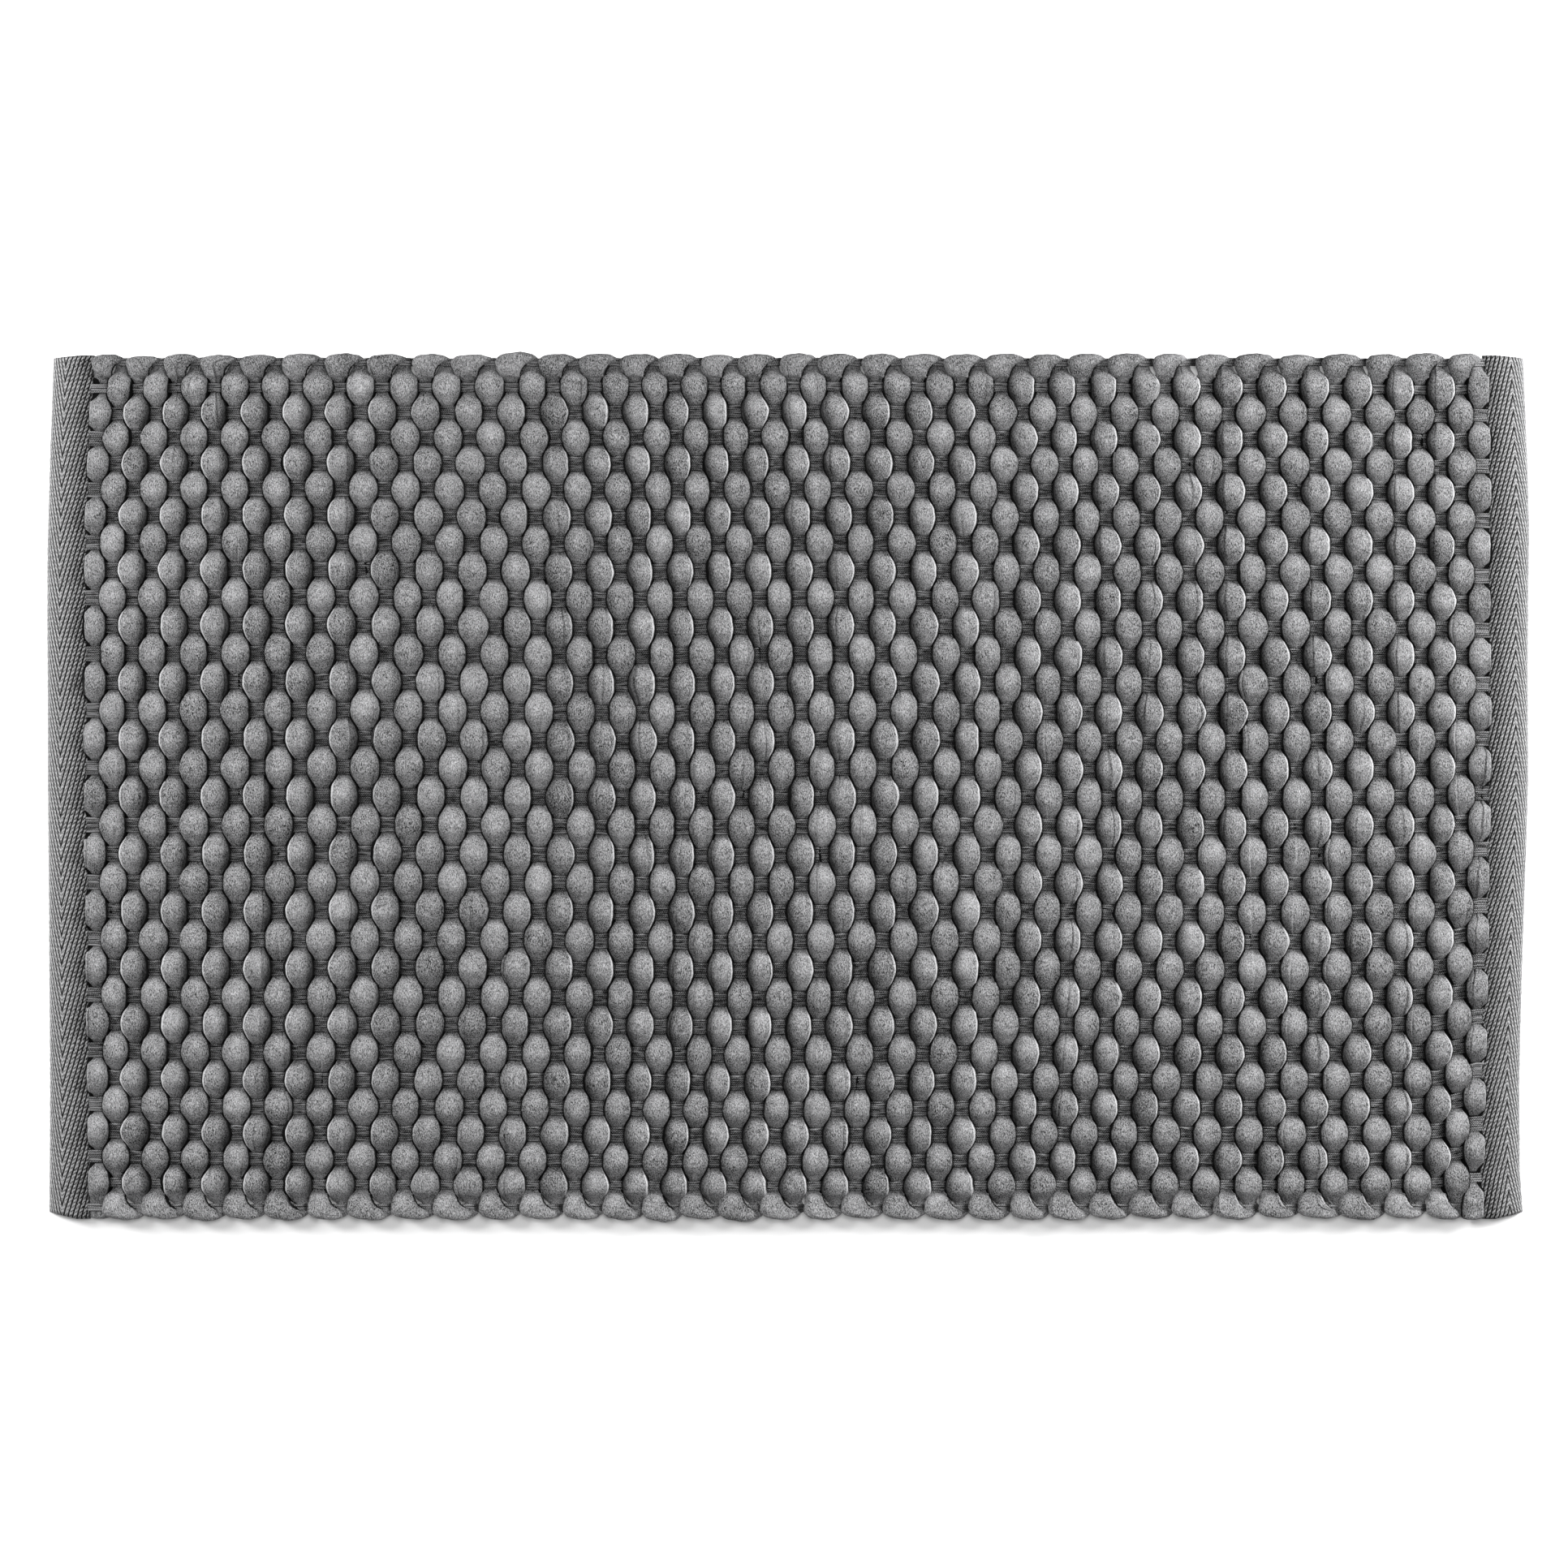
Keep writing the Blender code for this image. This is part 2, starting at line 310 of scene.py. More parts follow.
def row_wave(x, y):
    """How far the rows run off straight."""
    s, v = x / HALF_LENGTH, y / HALF_WIDTH
    lean = 1.6 + 1.7 * np.minimum(s, 0) ** 2 + 0.8 * np.sin(17 * x + 6 * y)
    lean = lean * (1 - 0.8 * v * v)
    lean = lean - 4.0 * np.maximum(s, 0) ** 2 * np.interp(v, *RIGHT_FALL)
    lean = lean - np.clip(-s, 0, 1) ** 2 * np.interp(v, *LEFT_FALL)
    sag = (1 - np.minimum(s * s, 1)) * np.interp(v, *MIDDLE_SAG)
    # the last columns before the right tape are drawn towards its middle
    drawn = np.exp(-(((1.01 - s) * HALF_LENGTH / RIGHT_DRAW_WIDTH) ** 2)) * np.interp(v, *RIGHT_DRAW)
    return (lean + sag + drawn) * MM


def by_row(lot, column, phase):
    """A lot's value at a place between rows. phase is the row number, with its fraction."""
    return np.interp(phase, np.arange(ROWS), lot[column])


def swell(u):
    """How high the cord stands, for a u of -1 under the weave's middle to 1 over it."""
    return u * (1.25 - 0.25 * u * u)


def widen(u):
    """How far a cord has spread between its narrowest, 0, and its widest, 1, for a |u| of 0 to 1."""
    return u * (1.34 - 0.34 * u)


def cord_section(column, y):
    """A column's section at y. u is 1 at the top of a bubble, -1 at the bottom of a dip, and over
    is true where the nearest bundle passes over the cord; off_band is mm from that bundle's side.
    """
    x = column_x(column, y)
    phase = np.interp(-(y - row_wave(x, y)), -ROW_Y, np.arange(ROWS))
    u = np.cos(math.pi * (phase + column))
    nearest = np.rint(phase).astype(int)
    over = (nearest + column) % 2 == 1
    off = np.abs(y - row_wave(x, y) - ROW_Y[nearest])
    pinch = PINCH * np.exp(-((off / (BAND_HALF[nearest] + PINCH_MARGIN)) ** 4))
    half = CORD_HALF_HEIGHT * (1 + HEIGHT_SPREAD * by_row(HEIGHT_LOT, column, phase))
    most = SWELL_SHARE + END_SWELL_SHARE * (x / HALF_LENGTH) ** 2
    share = NARROW_SHARE + most * widen(np.abs(u))
    share = share * (1 + SIZE_SPREAD * by_row(SIZE_LOT, column, phase) * np.abs(u))
    reach_left = (x - column_x(column - 1, y)) / 2 * share
    reach_right = (column_x(column + 1, y) - x) / 2 * share
    if column == 0:
        reach_left = END_COLUMN_HALF_WIDTH * np.ones_like(y)
    if column == COLUMNS - 1:
        reach_right = END_COLUMN_HALF_WIDTH * np.ones_like(y)
    if 0 < column < COLUMNS - 1:
        x = x + SIDE_SPREAD * by_row(SIDE_LOT, column, phase) * np.abs(u)
    return Section(
        x, reach_left, reach_right, MIDDLE_Z + CORD_RISE * swell(u),
        half - pinch * over, half - pinch * ~over, phase, u, over, (off - BAND_HALF[nearest]) / MM,
    )


# ------------------------------------------------------------------ meshes


def add_mesh(name, points, quads, triangles, attributes, material):
    """A smooth mesh that rides on the mat. attributes are named values for each point."""
    mesh = bpy.data.meshes.new(name)
    corners = np.concatenate([np.asarray(quads, int).ravel(), np.asarray(triangles, int).ravel()])
    sizes = np.concatenate([np.full(len(quads), 4), np.full(len(triangles), 3)]).astype(int)
    mesh.vertices.add(len(points))
    mesh.vertices.foreach_set("co", np.asarray(points, np.float32).ravel())
    mesh.loops.add(len(corners))
    mesh.loops.foreach_set("vertex_index", corners)
    mesh.polygons.add(len(sizes))
    mesh.polygons.foreach_set("loop_start", np.concatenate([[0], np.cumsum(sizes)[:-1]]))
    mesh.polygons.foreach_set("use_smooth", np.ones(len(sizes), bool))
    for key, values in attributes.items():
        layer = mesh.attributes.new(key, "FLOAT", "POINT")
        layer.data.foreach_set("value", np.asarray(values, np.float32).ravel())
    mesh.update(calc_edges=True)
    mesh.validate()
    mesh.materials.append(material)
    piece = bpy.data.objects.new(name, mesh)
    bpy.context.scene.collection.objects.link(piece)
    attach(piece, "root")
    return piece


def tube(rings, first=0):
    """Quads and end triangles of a closed tube. rings is (n, k, 3); two end points are added."""
    n, k = rings.shape[:2]
    i = np.arange(n - 1)[:, None]
    j = np.arange(k)[None, :]
    after = (j + 1) % k
    quads = np.stack([i * k + j, (i + 1) * k + j, (i + 1) * k + after, i * k + after], -1)
    points = np.concatenate([rings.reshape(-1, 3), rings[:1].mean(1), rings[-1:].mean(1)])
    j = np.arange(k)
    after = (j + 1) % k
    start = np.stack([np.full(k, n * k), j, after], -1)
    last = (n - 1) * k
    end = np.stack([np.full(k, n * k + 1), last + after, last + j], -1)
    return points, quads.reshape(-1, 4) + first, np.concatenate([start, end]) + first


def joined(tubes):
    """The points, quads and triangles of several tubes as one mesh."""
    points, quads, triangles = [], [], []
    count = 0
    for rings in tubes:
        p, q, t = tube(rings, count)
        points.append(p)
        quads.append(q)
        triangles.append(t)
        count += len(p)
    return np.concatenate(points), np.concatenate(quads), np.concatenate(triangles)


def smooth_through(keys, steps):
    """Catmull-Rom rows between keys[1] and keys[-2]."""
    keys = np.asarray(keys, float)
    rows = []
    for a, b, c, d in zip(keys[:-3], keys[1:-2], keys[2:-1], keys[3:]):
        for t in np.arange(steps) / steps:
            rows.append(
                0.5 * (2 * b + (c - a) * t + (2 * a - 5 * b + 4 * c - d) * t**2
                       + (3 * b - a - 3 * c + d) * t**3)
            )
    return np.array(rows)


# ------------------------------------------------------------------ the padded cord


def heading(column):
    """Even columns of the cord run towards +Y and odd ones towards -Y."""
    return 1 if column % 2 == 0 else -1


def straight_rows(column, ys):
    """The route's rows along one column."""
    cord = cord_section(column, ys)
    low, high = cord.x - cord.reach_left, cord.x + cord.reach_right
    left, right = (low, high) if heading(column) == 1 else (high, low)
    tone = COLUMN_TONE_SPREAD * COLUMN_TONE[column] + TONE_SPREAD * by_row(TONE_LOT, column, cord.phase)
    for pale_column, pale_row in PALE_BUBBLES:
        if column == pale_column:
            tone = tone + PALE_TONE * np.exp(-(((cord.phase - pale_row) / 0.7) ** 4))
    seam = SEAM_LEAST + by_row(SEAM_LOT, column, cord.phase) ** 2
    lip = by_row(LIP_LOT, column, cord.phase) ** 2
    top_band = np.where(cord.over, cord.off_band, FAR_OFF)
    low_band = np.where(cord.over, FAR_OFF, cord.off_band)
    return np.stack(
        [
            left, ys, right, ys, cord.z, cord.upper, cord.lower, tone, seam, lip,
            np.full_like(ys, column), cord.phase, cord.u, top_band, low_band, np.zeros_like(ys),
        ],
        -1,
    )


def turn_keys(column, keys, side):
    """The turn from a column to the next. side is 1 at the far edge and -1 at the near one."""
    edge = side * OUTER_ROW_Y
    row = 0 if side == 1 else ROWS - 1
    x = float(column_x(column, edge))
    stretch = (float(column_x(column + 1, edge)) - x) / PITCH
    bulge = 1 + TURN_SIZE_SPREAD * SIZE_LOT[column, row]
    lean = 1 + TURN_LEAN_SPREAD * SIDE_LOT[column, row]
    rows = []
    for place, (outer, inner, height, half) in enumerate(keys):
        blend = place / (len(keys) - 1)
        wide = lean if outer[0] < 0 else 1.0
        deep = bulge if outer[1] > 0 else 1.0
        outer_end = (x + outer[0] * wide * stretch * MM, edge + side * outer[1] * deep * MM)
        inner_end = (x + inner[0] * stretch * MM, edge + side * inner[1] * MM)
        left, right = (outer_end, inner_end) if side == 1 else (inner_end, outer_end)
        tone, seam, lip = [
            (1 - blend) * lot[column, row] + blend * lot[column + 1, row]
            for lot in (TONE_LOT, SEAM_LOT, LIP_LOT)
        ]
        u = float(np.clip(height * MM / CORD_RISE, -1, 1))
        rows.append(
            [
                *left, *right, MIDDLE_Z + height * MM, half * MM, half * MM,
                COLUMN_TONE_SPREAD * COLUMN_TONE[column] + TONE_SPREAD * tone,
                SEAM_LEAST + seam**2, lip**2, column + blend, row, u, FAR_OFF, FAR_OFF, side,
            ]
        )
    return rows


def cord_route():
    """The whole cord, from its tail at column 0 to its tail at the last column."""
    runs = []
    far = OUTER_ROW_Y - TURN_IN
    for column in range(COLUMNS):
        low = TAIL_Y if column in (0, COLUMNS - 1) else -far
        count = int(round((far - low) / RING_STEP)) + 1
        ys = np.linspace(low, far, count)
        if heading(column) == -1:
            ys = ys[::-1]
        runs.append(straight_rows(column, ys))
    rows = [runs[0]]
    for column in range(COLUMNS - 1):
        side = heading(column)
        keys = turn_keys(column, FAR_TURN if side == 1 else NEAR_TURN, side)
        here, there = runs[column], runs[column + 1]
        rows.append(smooth_through([here[-2], here[-1], *keys, there[0], there[1]], TURN_STEPS)[1:])
        rows.append(there)
    return np.concatenate(rows)


def cut_places(route):
    """The route's rows where one piece ends and the next begins."""
    places = []
    for column, row in CUTS:
        on_column = np.flatnonzero(route[:, COLUMN] == column)
        places.append(on_column[np.argmin(np.abs(route[on_column, PHASE] - row))])
    return places


def seam_angles(route):
    """Where the seam lies round the cord: it wanders slowly to and fro over the top."""
    count = COLUMNS + 1
    start = RNG.uniform(-0.8, 0.8, count)
    walk = math.pi / 2 + SEAM_SWING * np.sin(SEAM_TURNING * np.arange(count) + start)
    steps = np.diff(route[:, LEFT] + route[:, RIGHT], axis=0)
    run = np.concatenate([[0], np.cumsum(np.hypot(*steps.T))])
    run = run / run[-1] * COLUMNS
    return np.interp(run, np.arange(count), walk) + 0.12 * np.sin(run * 9)


def ring_marks():
    """Angles round a ring from the seam, close together near it."""
    near = np.array(SEAM_MARKS) * MM / SEAM_RADIUS
    rest = np.linspace(near[-1], 2 * math.pi + near[0], RING_REST + 2)[1:-1]
    return np.concatenate([near, rest])


def seam_relief(marks):
    """The sewn groove and the raised lip, in metres, and the seam's dark line, for each mark."""
    s = np.where(marks > math.pi, marks - 2 * math.pi, marks) * SEAM_RADIUS / MM
    groove = -0.7 * np.exp(-((s / 0.36) ** 2)) + 0.5 * np.exp(-(((s - 1.1) / 0.8) ** 2))
    groove += 0.3 * np.exp(-(((s + 1.3) / 0.8) ** 2))
    lip = np.where(s > 0.1, 1.7 * np.exp(-np.maximum(s, 0) / 3.4), 0.0)
    lip -= np.where(s < 0, 0.7 * np.exp(np.minimum(s, 0) / 2.0), 0.0)
    line = np.exp(-((s / 0.26) ** 2)) - 0.35 * np.exp(-(((s - 0.9) / 0.6) ** 2))
    return groove * MM, lip * MM, line


def turning_share(route):
    """1 or -1 inside a turn at the far or near edge, and 0 along a column."""
    return np.convolve(route[:, TURNING], np.ones(7) / 7, "same")[:, None]


def painted_pile_light(route, across, middle, facing):
    """Painted light and shade on the velvet: one flank and one end of each bubble lighter and the other
    darker, with lighter crowns on plain columns and the near turns. Sleek and plain columns get it in
    different strengths.
    """
    column, phase = route[:, [COLUMN]], route[:, [PHASE]]
    turning = turning_share(route)
    sleek = np.isin(np.rint(column), SLEEK_COLUMNS)
    to_right = across * facing
    # painted light and shade: the flank towards the nearer side of the mat lighter, the other darker
    lit_from = np.clip((middle[:, :1] - FLANK_CHANGE_X) / FLANK_CHANGE_RUN, -1, 1)
    flank = np.where(sleek, SLEEK_FLANK, PLAIN_FLANK) * to_right * np.sqrt(np.abs(to_right)) * lit_from
    flank = flank * (1 - 0.8 * np.abs(turning))
    # the end columns beside the tapes get less of the painted flank light and shade
    flank = flank * np.where((column < 1) | (column > COLUMNS - 2), END_COLUMN_PAINTED_FLANK, 1.0)
    # painted highlight on the crowns of plain columns and on the near turns
    crown = np.where(sleek, 0.0, PLAIN_CROWN) * (0.35 - across * across)
    crown = crown + NEAR_TURN_PAINTED_LIGHT * np.maximum(-turning, 0)
    # painted shade towards one end of each bubble
    downwards = np.where(sleek, SLEEK_FALL, PLAIN_FALL) * np.sin(math.pi * (phase + column))
    return np.clip(flank + crown - downwards, -1, 1)


def cord_rings(route, angles):
    """The cord's surface as rings of points, and the values that its material reads."""
    marks = ring_marks()
    groove, lip, line = seam_relief(marks)
    phi = angles[:, None] + marks[None, :]
    cosine, sine = np.cos(phi), np.sin(phi)
    column, phase = route[:, [COLUMN]], route[:, [PHASE]]
    seam_depth, lip_height = route[:, [SEAM]], route[:, [LIP]]
    u = route[:, [SWELLING]] * np.where(sine > 0, 1.0, -1.0)
    from_edge = np.minimum(phase, ROWS - 1 - phase)
    hemmed = np.clip((from_edge - 0.35) / 0.15, 0, 1)  # 0 where no neighbour leans over the cord
    power = 2 / np.interp(u * hemmed, (-0.6, 0.1), (UNDER_POWER, BUBBLE_POWER))
    across = np.sign(cosine) * np.abs(cosine) ** power
    up = np.sign(sine) * np.abs(sine) ** power
    left, right = route[:, LEFT], route[:, RIGHT]
    middle, arm = (left + right) / 2, (right - left) / 2
    reach = np.hypot(arm[:, 0], arm[:, 1])[:, None]
    half = np.where(sine > 0, route[:, [UPPER]], route[:, [LOWER]])
    nx, nz = cosine / reach, sine / half
    length = np.hypot(nx, nz)
    nx, nz = nx / length, nz / length
    run = np.arange(len(route))[:, None] * RING_STEP
    lumps = LUMP * (np.sin(run * 610 + 2 * phi + column) + np.sin(run * 930 - 3 * phi + 2 * column))
    relief = groove * seam_depth + lip * lip_height + lumps
    xy = middle[:, None, :] + arm[:, None, :] * across[..., None]
    xy = xy + (arm / reach)[:, None, :] * (nx * relief)[..., None]
    z = np.maximum(route[:, [CENTRE_Z]] + half * up + nz * relief, 0.0)
    # what shows of the cord from above or below, as a share of its reach: its neighbours hide the rest
    endwards = (middle[:, :1] / HALF_LENGTH) ** 2
    wide = NARROW_SHARE + (SWELL_SHARE + END_SWELL_SHARE * endwards) * widen(np.abs(u))
    tuck = 0.12 + 0.2 * endwards
    shown = np.where(u > 0, 1.0, np.clip((2 - wide) / wide * (1 + tuck * u), 0.2, 1.0))
    shown = 1 + (shown - 1) * hemmed
    turning = turning_share(route)
    # side reaches 1 at the crease where a neighbour hides the cord; the material paints shade there and
    # down the sides
    side = np.abs(across) / shown
    side = np.where(across * turning < 0, side * (1 - 0.38 * np.abs(turning)), side)
    parted = np.where(np.isin(np.rint(column), SLEEK_COLUMNS), 1.0, -0.7)
    looks = {
        "side": side,
        "band": np.where(sine > 0, route[:, [TOP_BAND]], route[:, [LOW_BAND]]),
        "sewn": parted * line * np.clip(seam_depth + lip_height - 0.15, 0, 1.2),
        "painted_light": painted_pile_light(route, across, middle, arm[:, :1] / reach),
        "tone": np.repeat(route[:, [TONE]], len(marks), 1),
    }
    return np.concatenate([xy, z[..., None]], -1), looks


def closed_end(rings, at_start):
    """The rings with a few more that round one end off."""
    ring = rings[0] if at_start else rings[-1]
    inner = rings[3] if at_start else rings[-4]
    centre = ring.mean(0)
    out = centre - inner.mean(0)
    out = out / np.linalg.norm(out)
    extra = np.array([centre + (ring - centre) * share + out * d * MM for share, d in END_ROUNDING])
    return np.concatenate([extra[::-1], rings]) if at_start else np.concatenate([rings, extra])


def build_cord(material):
    """The cord as seven pieces. Each stands for the sleeve and the filling of its CAD length."""
    route = cord_route()
    rings, looks = cord_rings(route, seam_angles(route))
    bounds = [0, *cut_places(route), len(route)]
    for number, (start, stop) in enumerate(zip(bounds[:-1], bounds[1:]), 1):
        part = rings[start:stop]
        before = len(END_ROUNDING) if number == 1 else 0
        after = len(END_ROUNDING) if number == len(LENGTH_OF_PIECE) else 0
        if before:
            part = closed_end(part, True)
        if after:
            part = closed_end(part, False)
        points, quads, triangles = tube(part)
        attributes = {}
        for key, values in looks.items():
            values = np.pad(values[start:stop], ((before, after), (0, 0)), mode="edge")
            attributes[key] = np.concatenate([values.ravel(), values[0, :1], values[-1, :1]])
        length = LENGTH_OF_PIECE[number - 1]
        piece = add_mesh(f"velvet_cord_{number}", points, quads, triangles, attributes, material)
        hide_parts(f"weft_cord_sleeve_{length}", f"weft_cord_filling_{length}")


# ------------------------------------------------------------------ the warp bundles


def yarn_height(column, row, ys):
    """The height of a yarn's middle over or under the cord of a column."""
    cord = cord_section(column, ys)
    if (row + column) % 2 == 1:
        return cord.z + cord.upper + YARN_PRESS * YARN_RADIUS
    return cord.z - cord.lower - YARN_PRESS * YARN_RADIUS


def bundle_lines(row):
    """The centre lines (yarns, points, 3) of one bundle, their radii, and 1 at each column's
    middle down to 0 half way between two columns.
    """
    count = BAND_COUNT[row]
    thick = THICKER.get(count, 1.0)
    offsets = (np.arange(count) - (count - 1) / 2) * YARN_PITCH * thick
    edge = OUTER_ROW_Y + 3 * MM  # the sections' phases hold up to here
    centres, heights = [], []
    for column in range(COLUMNS):
        x = float(column_x(column, ROW_Y[row]))
        y = ROW_Y[row] + float(row_wave(x, ROW_Y[row]))
        centres.append((x, y))
        heights.append(yarn_height(column, row, np.clip(y + offsets, -edge, edge)))
    points = []
    for here, there, low, high in zip(centres[:-1], centres[1:], heights[:-1], heights[1:]):
        for t in np.arange(YARN_STEPS) / YARN_STEPS:
            x, y = [(1 - t) * a + t * b for a, b in zip(here, there)]
            points.append((x, y, (low + high) / 2 + (low - high) / 2 * math.cos(math.pi * t)))
    points.append((*centres[-1], heights[-1]))
    first, last = points[0], points[-1]
    lead = [(-x, first[1], TUCKED_Z + share * (first[2] - TUCKED_Z)) for x, share in reversed(YARN_END)]
    tail = [(x, last[1], TUCKED_Z + share * (last[2] - TUCKED_Z)) for x, share in YARN_END]
    points = lead + points + tail
    lines = np.zeros((count, len(points), 3))
    for index, (x, y, z) in enumerate(points):
        lines[:, index, 0] = x
        lines[:, index, 1] = y + offsets
        lines[:, index, 2] = z
    x = lines[:, :, 0]
    turn = RNG.uniform(0, 2 * math.pi, (len(YARN_WAVES), count, 1))
    for (axis, size, rate), start in zip(YARN_WAVES, turn):
        lines[:, :, axis] += size * np.sin(rate * x + start)
    radii = YARN_RADIUS * thick * (1 + YARN_RADIUS_SPREAD * RNG.normal(0, 1, (count, len(points))))
    places = np.interp(x, [centre[0] for centre in centres], np.arange(COLUMNS))
    return lines, np.clip(radii, *YARN_RADII), np.abs(np.cos(math.pi * places))


def round_yarn(values):
    """One value for each ring of a yarn, for all of its points and its two end points."""
    return np.concatenate([np.repeat(values, YARN_SIDES), values[:1], values[-1:]])


def build_bundles(material):
    pieces = []
    angle = np.arange(YARN_SIDES) * 2 * math.pi / YARN_SIDES
    for row in range(ROWS):
        edge_tone = EDGE_BUNDLE_TONE if BAND_COUNT[row] in THICKER else 0.0
        tubes = []
        looks = {"tone": [], "lateral": [], "along": [], "near": []}
        for line, radius, near in zip(*bundle_lines(row)):
            rings = line[:, None, :] + np.zeros((1, YARN_SIDES, 3))
            rings[:, :, 1] += radius[:, None] * np.cos(angle)
            rings[:, :, 2] += radius[:, None] * np.sin(angle)
            tubes.append(rings[:, ::-1])
            tone = YARN_TONE_SPREAD * RNG.normal() + YARN_TONE_SPREAD * RNG.normal(0, 1, len(line))
            looks["tone"].append(round_yarn(edge_tone + tone))
            looks["lateral"].append(np.append(np.tile(np.cos(angle[::-1]), len(line)), (0.0, 0.0)))
            looks["along"].append(round_yarn(line[:, 0] / YARN_TWIST + RNG.uniform(0, 1)))
            looks["near"].append(round_yarn(near))
        attributes = {key: np.concatenate(values) for key, values in looks.items()}
        piece = add_mesh(f"warp_yarns_{row + 1:02d}", *joined(tubes), attributes, material)
        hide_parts(f"warp_bundle_{row + 1:02d}")
        pieces.append(piece)
    return pieces


# ------------------------------------------------------------------ the tapes


def resampled(line, step):
    """The line at even steps with its corners rounded, and how far along each point lies."""
    line = np.asarray(line, float)
    run = np.concatenate([[0], np.cumsum(np.hypot(*np.diff(line, axis=0).T))])
    count = int(round(run[-1] / step)) + 1
    at = np.linspace(0, run[-1], count)
    smooth = np.stack([np.interp(at, run, line[:, 0]), np.interp(at, run, line[:, 1])], -1)
    for _ in range(6):
        smooth[1:-1] = (smooth[:-2] + 2 * smooth[1:-1] + smooth[2:]) / 4
    return smooth, at


def left_normals(line):
    """Unit normals to the left of a flat line."""
    slope = np.gradient(line, axis=0)
    slope /= np.linalg.norm(slope, axis=1)[:, None]
    return np.stack([-slope[:, 1], slope[:, 0]], -1)


def tape_edge(side, y):
    """Where a tape's outer edge lies, as a distance from the mat's middle."""
    wander = TAPE_WANDER * np.sin(y * 27 + 2 * side)
    return np.interp(y / TAPE_HALF_LENGTH, *TAPE_EDGES[side]) * MM + wander


def build_tape(name, side, material):
    """A folded tape with a herringbone relief. side is -1 for the tape at -X and 1 at +X."""
    line, run = resampled(TAPE_OUTLINE, TAPE_RING_STEP)
    normal = -left_normals(line)
    on_top = np.where(line[:, 1] < LOWER_LEG_TOP, np.inf, np.abs(line[:, 0] - RIB_APEX))
    across = run - run[np.argmin(on_top)]  # mm, growing outwards and round the fold
    count = int(round(2 * TAPE_HALF_LENGTH / TAPE_STEP)) + 1
    ys = np.linspace(-TAPE_HALF_LENGTH, TAPE_HALF_LENGTH, count)[:, None]

    # the ribs run up to the apex from both sides, so their phase grows away from it
    period = np.where(across < 0, RIB_INNER, RIB_OUTER) / MM
    drift = 0.05 * np.sin(ys * 31 + side) + 0.035 * np.sin(ys * 83)
    phase = np.abs(across / period) + side * ys / RIB_RISE + drift
    beat = np.abs(np.sin(math.pi * phase))
    relief = RIB_DEPTH * (np.sqrt(beat) - 0.75)
    relief = relief + KNOT * np.sin(2 * math.pi * (ys / KNOT_STEP + 2 * phase)) * beat
    relief = relief * np.clip(np.minimum(run, run[-1] - run) / RIB_FADE, 0, 1)

    # the outside with its relief, and the plain inside at every fourth point on the way back
    back, back_normal = line[::-4], normal[::-4]
    flat = np.zeros_like(ys)
    outer = [line[:, k] * MM + normal[:, k] * relief for k in (0, 1)]
    inner = [back[:, k] * MM - back_normal[:, k] * TAPE_WALL + flat for k in (0, 1)]
    inwards, z = [np.concatenate(pair, 1) for pair in zip(outer, inner)]
    from_end = TAPE_HALF_LENGTH - np.abs(ys)
    pressed = 1 - END_PRESS * np.clip(1 - from_end / END_PRESS_RUN, 0, 1) ** 2
    wavy = 1 + TAPE_HEIGHT_SPREAD * np.sin(ys * 41 + side)
    z = np.maximum(z * wavy * pressed, 0.0)
    slant = np.where(ys < 0, NEAR_SLANT, FAR_SLANT)
    stretch = np.where(ys < 0, NEAR_STRETCH, 1.0)
    x = side * (tape_edge(side, ys) - inwards)
    y = ys * (stretch - slant * np.clip(1 - inwards / SLANT_RUN, 0, 1))
    rings = np.stack([x, y, z], -1)

    plain = np.full(inner[0].shape, 0.5)
    along = np.broadcast_to(side * ys / RIB_TWIST, phase.shape)
    painted_tape_light = np.interp(line[:, 0], *TAPE_PAINTED_LIGHT) + np.zeros(phase.shape)
    looks = {"rib": phase, "along": along, "painted_tape_light": painted_tape_light}
    way = 1 if side == -1 else -1  # the mirrored tape's rings run the other way round
    attributes = {}
    for key, values in looks.items():
        values = np.concatenate([values, plain], 1)[:, ::way]
        attributes[key] = np.append(values.ravel(), (0.5, 0.5))
    return add_mesh(name, *tube(rings[:, ::way]), attributes, material)


def build_stitches(name, side, material):
    """A row of stitches down the tape's upper lip."""
    angle = np.arange(STITCH_SIDES) * 2 * math.pi / STITCH_SIDES
    place, width, dip = np.array(STITCH_SHAPE).T
    tubes = []
    y = -TAPE_HALF_LENGTH + STITCH_MARGIN
    while y + STITCH_LENGTH < TAPE_HALF_LENGTH - STITCH_MARGIN:
        edge = float(tape_edge(side, y + STITCH_LENGTH / 2))
        x = np.full(len(place), side * (edge - STITCH_IN))
        centre = np.stack([x, y + place * STITCH_LENGTH, STITCH_Z + dip * STITCH_DIP], -1)
        rings = centre[:, None, :] + np.zeros((1, STITCH_SIDES, 3))
        rings[:, :, 0] += STITCH_RADIUS * width[:, None] * np.cos(angle)
        rings[:, :, 2] += STITCH_RADIUS * width[:, None] * np.sin(angle)
        tubes.append(rings)
        y += STITCH_LENGTH + STITCH_GAP + STITCH_GAP_SPREAD * RNG.normal()
    return add_mesh(name, *joined(tubes), {}, material)


# ------------------------------------------------------------------ materials


